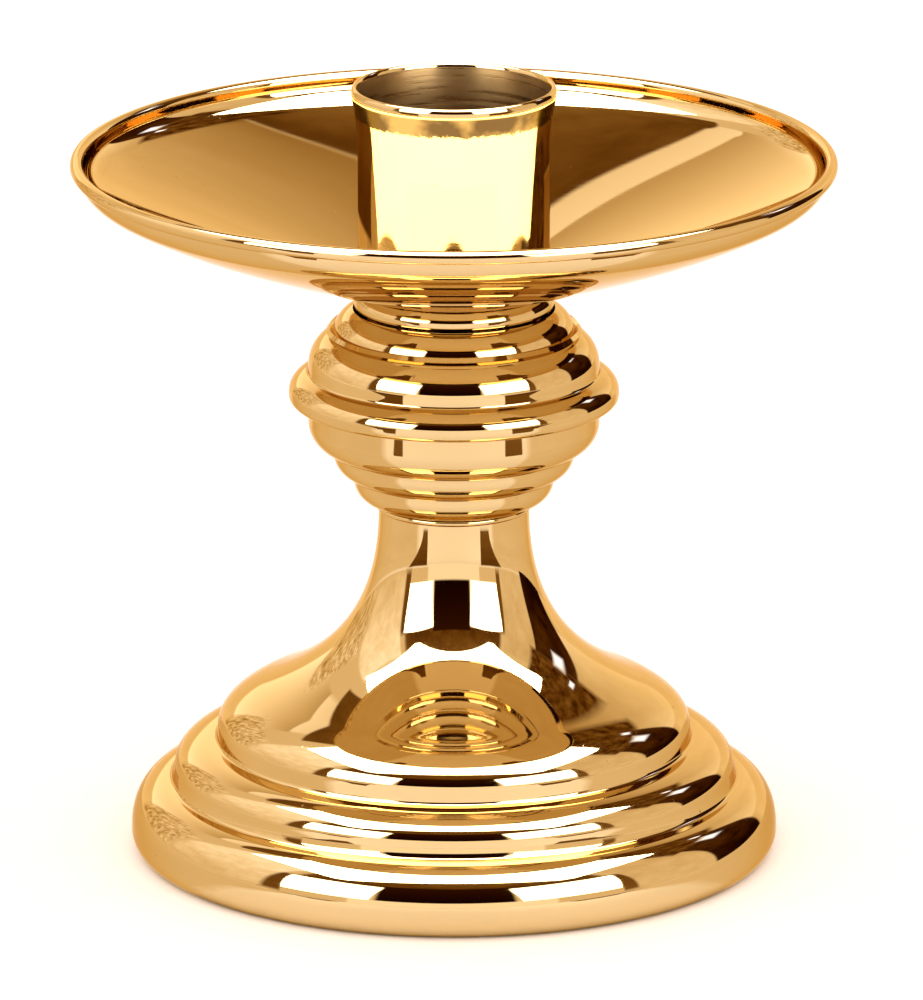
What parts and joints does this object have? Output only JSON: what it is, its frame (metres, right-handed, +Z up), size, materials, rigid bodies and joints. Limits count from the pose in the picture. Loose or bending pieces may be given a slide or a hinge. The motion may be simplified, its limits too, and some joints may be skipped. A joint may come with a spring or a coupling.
{
  "type": "candle holder",
  "caption": "Polished brass altar candlestick: flared candle socket in a dished drip pan with a rolled rim, ringed knop, flared neck and a round three-step weighted base.",
  "frame": {"origin": "centre of the foot, on the table", "axes": "+Z up along the candle's axis; the object is round about it"},
  "size_m": [0.1602, 0.1602, 0.165],
  "materials": {
    "polished_brass": "mirror-polished gold-coloured brass with fine spin lines and a few hairline scratches",
    "turned_brass": "unpolished turned brass",
    "zinc_plated_steel": "zinc-plated steel",
    "vulcanised_fibre": "red-brown vulcanised fibre",
    "cast_iron": "sand-cast, black",
    "felt": "dark green wool felt"
  },
  "bodies": {
    "stand": {"drip_pan": "polished_brass", "pan_seat": "polished_brass", "column_nut": "zinc_plated_steel", "spacer_tube": "turned_brass", "knop_upper_shell": "polished_brass", "knop_lower_shell": "polished_brass", "neck_plug": "polished_brass", "base_shell": "polished_brass", "tie_rod": "zinc_plated_steel", "bridge_plate": "zinc_plated_steel", "lock_washer": "zinc_plated_steel", "clamp_nut": "zinc_plated_steel", "ballast": "cast_iron", "bottom_plate": "zinc_plated_steel", "cover_nut": "zinc_plated_steel", "felt_pad": "felt"},
    "washer": {"friction_washer": "vulcanised_fibre"},
    "socket": {"socket_tube": "polished_brass", "socket_floor": "turned_brass", "socket_boss": "turned_brass"}
  },
  "joints": [
    {"name": "washer_rise", "type": "slide", "parent": "stand", "child": "washer", "axis": [0, 0, 1], "range_m": [0, 0.00635]},
    {"name": "socket_turn", "type": "hinge", "parent": "washer", "child": "socket", "pos_m": [0, 0, 0.122], "axis": [0, 0, 1], "range_deg": [0, 1800]}
  ],
  "couplings": [
    {"joint": "washer_rise", "follows": "socket_turn", "m_per_rad": 0.00020212}
  ]
}
